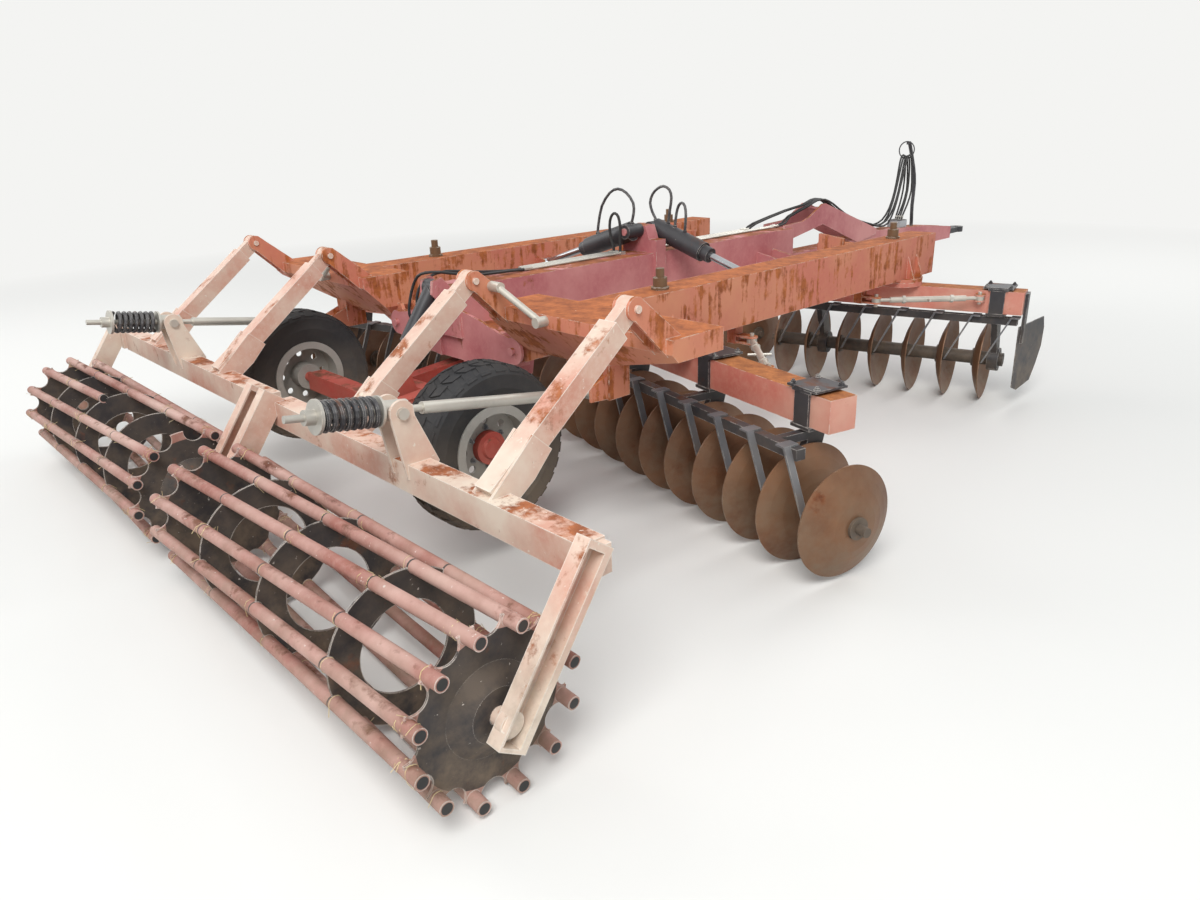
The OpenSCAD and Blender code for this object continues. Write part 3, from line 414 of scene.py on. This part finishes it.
class Shape:
    """The faces of one piece, gathered in the part's frame."""

    def __init__(self):
        self.bm = bmesh.new()

    def skin(self, rings):
        """Joins rings of points and caps both ends."""
        rows = [[self.bm.verts.new(p) for p in points] for points in rings]
        for a, b in zip(rows, rows[1:]):
            for i in range(len(a)):
                j = (i + 1) % len(a)
                self.bm.faces.new((a[i], a[j], b[j], b[i]))
        self.bm.faces.new(rows[0][::-1])
        self.bm.faces.new(rows[-1])

    def bar(self, a, b, radius, sides, end_radius=None):
        """A round, six-sided or tapered bar from a to b."""
        radii = (radius, radius if end_radius is None else end_radius)
        self.skin([ring(place, b - a, r, sides, 0.5) for place, r in zip((a, b), radii)])

    def bolt(self, place, up, head, tall=0.0):
        """A hexagon head on a washer; tall adds the end of the thread above a nut."""
        self.bar(place - up * WASHER_SUNK, place + up * WASHER_TOP, head * WASHER_WIDE, WASHER_SIDES)
        self.bar(place, place + up * head * HEAD_TALL, head, HEXAGON)
        if tall:
            self.bar(place, place + up * tall, head * THREAD_WIDE, THREAD_SIDES)

    def tube(self, points, radius, sides):
        """A bent tube through the points."""
        last = len(points) - 1
        along = [points[min(i + 1, last)] - points[max(i - 1, 0)] for i in range(len(points))]
        self.skin([ring(p, way, radius, sides) for p, way in zip(points, along)])

    def done(self, name, body, look):
        """Makes the object and lets it ride on its body."""
        bmesh.ops.recalc_face_normals(self.bm, faces=self.bm.faces)
        mesh = bpy.data.meshes.new(name)
        self.bm.to_mesh(mesh)
        self.bm.free()
        mesh.materials.append(MATS[look])
        obj = bpy.data.objects.new(name, mesh)
        bpy.context.scene.collection.objects.link(obj)
        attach(obj, body)


# Wheels: the tyre tread, hub caps and wheel nuts. TYRE_PROFILE is the CAD tyre's (x, radius)
TYRE_PROFILE = ((0.0, 0.38), (0.06, 0.38), (0.105, 0.372), (0.128, 0.35))
# The two edges of each block of one step: x, and where it starts as a share of the step
TREAD = (((-0.054, 0.0), (-0.005, 0.30)), ((0.005, 0.30), (0.054, 0.0)),
         ((-0.119, 0.62), (-0.062, 0.44)), ((0.062, 0.44), (0.119, 0.62)))
TREAD_STEPS = 30
TREAD_SHARE = 0.66
TREAD_SUNK = -0.006
TREAD_HIGH = 0.008
# Hub cap: from and to along the axle, radius and end radius, sides
CAP_STEPS = ((0.0225, 0.061, 0.0765, 0.0765, 32), (0.060, 0.074, 0.052, 0.044, 24))
NUTS = 6
NUT_FIRST = 30
NUT_CIRCLE = 0.093
NUT_FOOT = 0.022
NUT_R = 0.0105
STUD_TALL = 0.02


def tyre_radius(x):
    """The CAD tyre's radius at x from its middle plane."""
    for (x0, r0), (x1, r1) in zip(TYRE_PROFILE, TYRE_PROFILE[1:]):
        if abs(x) <= x1:
            break
    return r0 + (r1 - r0) * (abs(x) - x0) / (x1 - x0)


def tread_ring(centre, step, block, lift):
    """The four corners of a tread block, lift away from the CAD tyre."""
    pitch = 2 * math.pi / TREAD_STEPS
    (x0, start0), (x1, start1) = block
    corners = []
    for x, start, share in ((x0, start0, 0.0), (x0, start0, TREAD_SHARE),
                            (x1, start1, TREAD_SHARE), (x1, start1, 0.0)):
        corners.append(centre + round_x(x, tyre_radius(x) + lift, (step + start + share) * pitch))
    return corners


def make_tread(side):
    centre = middle(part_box("tyre_" + side))
    shape = Shape()
    for step in range(TREAD_STEPS):
        for block in TREAD:
            shape.skin([tread_ring(centre, step, block, lift) for lift in (TREAD_SUNK, TREAD_HIGH)])
    shape.done("tread_" + side, "wheel_" + side, "tyre")


def make_hub(side, sign):
    centre = middle(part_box("wheel_" + side))
    out = Vector((sign, 0, 0))
    cap = Shape()
    for start, end, radius, end_radius, sides in CAP_STEPS:
        cap.bar(centre + out * start, centre + out * end, radius, sides, end_radius)
    cap.done("hub_cap_" + side, "wheel_" + side, "red")
    nuts = Shape()
    for k in range(NUTS):
        t = math.radians(NUT_FIRST + k * 360 / NUTS)
        place = centre + out * NUT_FOOT + Vector((0, math.cos(t), math.sin(t))) * NUT_CIRCLE
        nuts.bolt(place, out, NUT_R, STUD_TALL)
    nuts.done("wheel_nuts_" + side, "wheel_" + side, "grey")


for side, sign in SIDES:
    make_tread(side)
    make_hub(side, sign)


# Gangs: the clamps' cover plates and bolts, and the nuts and cross handles of the turnbuckles.
# A gang has its pivot, its angle, the x of its first disc's hub, the clamps' places in discs
# from there, and its clamps' shift across the arm. All sizes are CAD sizes.
REAR_GANG = {"pivot": (1021, 2133), "angle": -14, "hub_x": 2327, "clamps": (1.5, 4.5, 7.5), "dy": 0}
FRONT_GANG = {"pivot": (1021, 4612), "angle": 14, "hub_x": 1508, "clamps": (-0.5, 4.5), "dy": -200}
DISC_PITCH = 240
CLAMP_TOP = 799
COVER_RECTANGLE = rectangle(-92, -15, 92, 165)
COVER_SUNK = 1
COVER_THICK = 9
CLAMP_BOLTS = ((-74, 4), (-74, 146), (74, 4), (74, 146))
CLAMP_BOLT_R = 0.0115
CLAMP_BOLT_TALL = 0.018
# Turnbuckles: the chassis end, the gang and the lug's place on it
TURNBUCKLES = (((1130, 2650), REAR_GANG, (520, 195)), ((1095, 4045), FRONT_GANG, (520, -245)))
TURN_Z = 740
TURN_NUTS = (0.27, 0.73)
TURN_NUT_HALF = 0.010
TURN_NUT_R = 0.026
HANDLE_HALF = 0.062
HANDLE_R = 0.0075
HANDLE_SIDES = 10


def gang_place(gang, sign, u, v, z):
    """A place along (u) and across (v) a gang, from its pivot."""
    pivot = gang["pivot"]
    t = math.radians(gang["angle"])
    x = pivot[0] + u * math.cos(t) - v * math.sin(t)
    return mm(sign * x, pivot[1] + u * math.sin(t) + v * math.cos(t), z)


def make_clamps(side, sign):
    bolts = Shape()
    covers = Shape()
    top = CLAMP_TOP + COVER_THICK
    for gang in (REAR_GANG, FRONT_GANG):
        dy = gang["dy"]
        first = (gang["hub_x"] - gang["pivot"][0]) / math.cos(math.radians(gang["angle"]))
        for k in gang["clamps"]:
            u = first - k * DISC_PITCH
            covers.skin([[gang_place(gang, sign, u + du, dy + v, z) for du, v in COVER_RECTANGLE]
                         for z in (CLAMP_TOP - COVER_SUNK, top)])
            for du, v in CLAMP_BOLTS:
                place = gang_place(gang, sign, u + du, dy + v, top)
                bolts.bolt(place, UP, CLAMP_BOLT_R, CLAMP_BOLT_TALL)
    covers.done("clamp_covers_" + side, "wing_" + side, "black")
    bolts.done("clamp_bolts_" + side, "wing_" + side, "black")


def make_handles(side, sign):
    shape = Shape()
    for start, gang, lug in TURNBUCKLES:
        a = mm(sign * start[0], start[1], TURN_Z)
        b = gang_place(gang, sign, *lug, TURN_Z)
        centre = (a + b) / 2
        along = (b - a).normalized()
        across = along.cross(UP)
        for share in TURN_NUTS:
            end = a + (b - a) * share
            shape.bar(end - along * TURN_NUT_HALF, end + along * TURN_NUT_HALF, TURN_NUT_R, HEXAGON)
        shape.bar(centre - across * HANDLE_HALF, centre + across * HANDLE_HALF, HANDLE_R, HANDLE_SIDES)
    shape.done("turn_handles_" + side, "wing_" + side, "zinc")


for side, sign in SIDES:
    make_clamps(side, sign)
    make_handles(side, sign)


# Rollers: painted shade in the tube ends (black discs sunk in the open bores), and dry grass wound on the
# tubes
TUBES = 12
RING_R = 0.283
TUBE_R = 0.024
# The first tube's angle and the twist along the roller, in degrees
ROLLER_TURN = {"left": (34.9, 24), "right": (63.6, -23)}
BROKEN_TUBE = {"left": 2, "right": None}
BORE_R = 0.0185
BORE_SIDES = 18
BORE_SUNK = 0.002
BORE_PROUD = 0.0005


def tube_line(side, sign, k):
    """The inner and outer end of tube k's centre line; the broken tube starts half way."""
    first, twist = ROLLER_TURN[side]
    ends = []
    for part, x in enumerate(ROLLER_X):
        if k == BROKEN_TUBE[side] and part == 0:
            x, part = sum(ROLLER_X) / 2, 0.5
        t = math.radians(first + k * 360 / TUBES + part * twist)
        ends.append(ROLLER_AXIS + round_x(sign * x, RING_R, t))
    return ends


# Painted shade: a black disc of hose rubber, sunk in each tube end, stands for the shade inside the open
# bore
def make_bore_shades(side, sign):
    bore_shades = Shape()
    for k in range(TUBES):
        a, b = tube_line(side, sign, k)
        along = (b - a).normalized()
        for end, out in ((b, along), (a, -along)):
            bore_shades.bar(end - out * BORE_SUNK, end + out * BORE_PROUD, BORE_R, BORE_SIDES)
    bore_shades.done("painted_bore_shade_" + side, "roller_" + side, "rubber")


# Grass: where it gathers along the roller, and the ranges of one blade in metres and radians
GRASS_SPOTS = (0.16, 0.2, 0.215, 0.62, 0.675, 0.69, 1.16, 1.21, 1.225, 1.7, 1.75, 1.765, 2.17, 2.185, 2.195)
GRASS_SPREAD = 0.022
GRASS_LOWEST = 0.003
BLADES = 170
BLADE_STEPS = 6
BLADE_SIDES = 3
BLADE_CLEAR = 0.0005
BLADE_WEAVE = 0.0012
BLADE_WOUND = (2.0, 6.0)
BLADE_SLIP = (-0.03, 0.03)
BLADE_END = (0.003, 0.02)
BLADE_R = (0.0008, 0.0016)


def make_grass(side, sign):
    """Each blade winds about a tube and ends loose; blades that would reach the ground are left out."""
    shape = Shape()
    for _ in range(BLADES):
        a, b = tube_line(side, sign, rng.randrange(TUBES))
        along = (b - a).normalized()
        x = rng.choice(GRASS_SPOTS) + rng.gauss(0, GRASS_SPREAD)
        s = (x - sign * a.x) / (sign * (b.x - a.x))
        if not 0.0 < s < 1.0:
            continue
        spot = a + (b - a) * s
        u = along.orthogonal().normalized()
        v = along.cross(u)
        start = rng.uniform(0, 2 * math.pi)
        wound = rng.uniform(*BLADE_WOUND)
        slip = rng.uniform(*BLADE_SLIP)
        points = []
        for i in range(BLADE_STEPS + 1):
            t = start + wound * i / BLADE_STEPS
            r = TUBE_R + BLADE_CLEAR + BLADE_WEAVE * (i % 2)
            if i == BLADE_STEPS:
                r += rng.uniform(*BLADE_END)
            place = spot + along * slip * i / BLADE_STEPS
            points.append(place + u * r * math.cos(t) + v * r * math.sin(t))
        if min(p.z for p in points) < GRASS_LOWEST:
            continue
        shape.tube(points, rng.uniform(*BLADE_R), BLADE_SIDES)
    shape.done("grass_" + side, "roller_" + side, "straw")


for side, sign in SIDES:
    make_bore_shades(side, sign)
    make_grass(side, sign)


# Chassis: collars at the hoses' ends, the valve block's cover and the screws of the pipe clamps,
# all in CAD sizes apart from the radii
BEAM_TOP = 1107
PIPE_XS = (-100, -70, -40, -10)
PIPE_ENDS = (4140, 4140, 4430, 4430)
# A collar on a pipe goes from one (y, z) to another
FRONT_COLLAR = (-26, 34)
REAR_COLLAR = (2026, 1966)
COLLAR_ZS = (BEAM_TOP + 10.6, BEAM_TOP + 11.6)
COLLAR_R = 0.0102
VALVE_XS = (-30, -10, 10, 30)
VALVE_COLLAR = ((6316, 990.4), (6321, 1026))
VALVE_COLLAR_R = 0.0094
COVER_BOX = (mm(-60, 6232, 989.5), mm(60, 6348, 994))
SCREWS = ((-55, 2771), (-85, 3042), (-25, 3042))
SCREW_FOOT = BEAM_TOP + 18
SCREW_R = 0.0065


def make_collars():
    shape = Shape()
    ends = [(x, [end + dy for dy in FRONT_COLLAR]) for x, end in zip(PIPE_XS, PIPE_ENDS)]
    ends += [(x, REAR_COLLAR) for x in PIPE_XS[2:]]
    for x, ys in ends:
        a, b = (mm(x, y, z) for y, z in zip(ys, COLLAR_ZS))
        shape.bar(a, b, COLLAR_R, HEXAGON)
    for x in VALVE_XS:
        a, b = (mm(x, y, z) for y, z in VALVE_COLLAR)
        shape.bar(a, b, VALVE_COLLAR_R, HEXAGON)
    shape.done("hose_collars", "chassis", "zinc")


def make_cover():
    shape = Shape()
    low, high = COVER_BOX
    corners = rectangle(low.x, low.y, high.x, high.y)
    shape.skin([[Vector((x, y, z)) for x, y in corners] for z in (low.z, high.z)])
    shape.done("valve_cover", "chassis", "black")


def make_screws():
    shape = Shape()
    for x, y in SCREWS:
        shape.bolt(mm(x, y, SCREW_FOOT), UP, SCREW_R)
    shape.done("clamp_screws", "chassis", "grey")


make_collars()
make_cover()
make_screws()


# Floor, backdrop and light
BACKDROP = srgb(244, 244, 242)
FLOOR_COLOUR = srgb(226, 225, 221)
FLOOR_ROUGH = 0.9
FLOOR_SIZE = 120
FLOOR_Z = -0.001
# Distances from the middle between which the floor passes into the backdrop
FLOOR_FADE = (4.0, 12.0)
SKY_COLOUR = srgb(232, 238, 244)
SKY_POWER = 0.55
# Lamps: name, place, target, diameter and power
LAMPS = (
    ("key", (5.5, -7.5, 8.5), (0, -0.8, 0.4), 6, 940),
    ("fill", (-7.5, -5.0, 6.0), (0, 0, 0.5), 7, 360),
    ("back", (1.0, 9.0, 7.0), (0, 1, 0.5), 7, 430),
)


def seen_directly(tree):
    """1 where the camera or a reflection sees the surface, 0 where light bounces."""
    path = tree.nodes.new("ShaderNodeLightPath")
    either = tree.nodes.new("ShaderNodeMath")
    either.operation = "MAXIMUM"
    tree.links.new(path.outputs["Is Camera Ray"], either.inputs[0])
    tree.links.new(path.outputs["Is Glossy Ray"], either.inputs[1])
    return either.outputs[0]


def glow(tree, kind, colour, power):
    """A light-giving node of plain colour."""
    node = tree.nodes.new(kind)
    node.inputs["Color"].default_value = colour
    node.inputs["Strength"].default_value = power
    return node


def blend(tree, fac, a, b, output):
    """Shader a where fac is 0 and b where it is 1, to the output's surface."""
    mix = tree.nodes.new("ShaderNodeMixShader")
    for i, socket in enumerate((fac, a.outputs[0], b.outputs[0])):
        tree.links.new(socket, mix.inputs[i])
    tree.links.new(mix.outputs[0], tree.nodes[output].inputs["Surface"])


def floor_paint():
    """A pale floor that takes the machine's shadow and passes into the backdrop away from it."""
    n = Nodes("floor_pale")
    n.shader.inputs["Base Color"].default_value = FLOOR_COLOUR
    n.shader.inputs["Roughness"].default_value = FLOOR_ROUGH
    away = n.length(n.part("Object", 0), n.part("Object", 1))
    far = n.math("MULTIPLY", n.ramp(away, *FLOOR_FADE), seen_directly(n.tree))
    bright = glow(n.tree, "ShaderNodeEmission", BACKDROP, 1.0)
    blend(n.tree, far, n.shader, bright, "Material Output")
    return n.mat


def make_stage():
    bpy.ops.mesh.primitive_plane_add(size=FLOOR_SIZE, location=(0, 0, FLOOR_Z))
    floor = bpy.context.object
    floor.name = "floor"
    floor.data.materials.append(floor_paint())


def area_light(name, place, target, size, power):
    data = bpy.data.lights.new(name, "AREA")
    data.shape = "DISK"
    data.size = size
    data.energy = power
    obj = bpy.data.objects.new(name, data)
    obj.location = place
    obj.rotation_euler = (Vector(target) - Vector(place)).to_track_quat("-Z", "Y").to_euler()
    bpy.context.scene.collection.objects.link(obj)


def make_world():
    """Soft light on the object, and a plain pale backdrop where the camera or a reflection sees it."""
    world = bpy.data.worlds.new("world")
    bpy.context.scene.world = world
    world.use_nodes = True
    tree = world.node_tree
    sky = tree.nodes["Background"]
    sky.inputs["Color"].default_value = SKY_COLOUR
    sky.inputs["Strength"].default_value = SKY_POWER
    bright = glow(tree, "ShaderNodeBackground", BACKDROP, 1.0)
    blend(tree, seen_directly(tree), sky, bright, "World Output")


make_stage()
for lamp in LAMPS:
    area_light(*lamp)
make_world()
bpy.context.scene.view_settings.view_transform = "Standard"
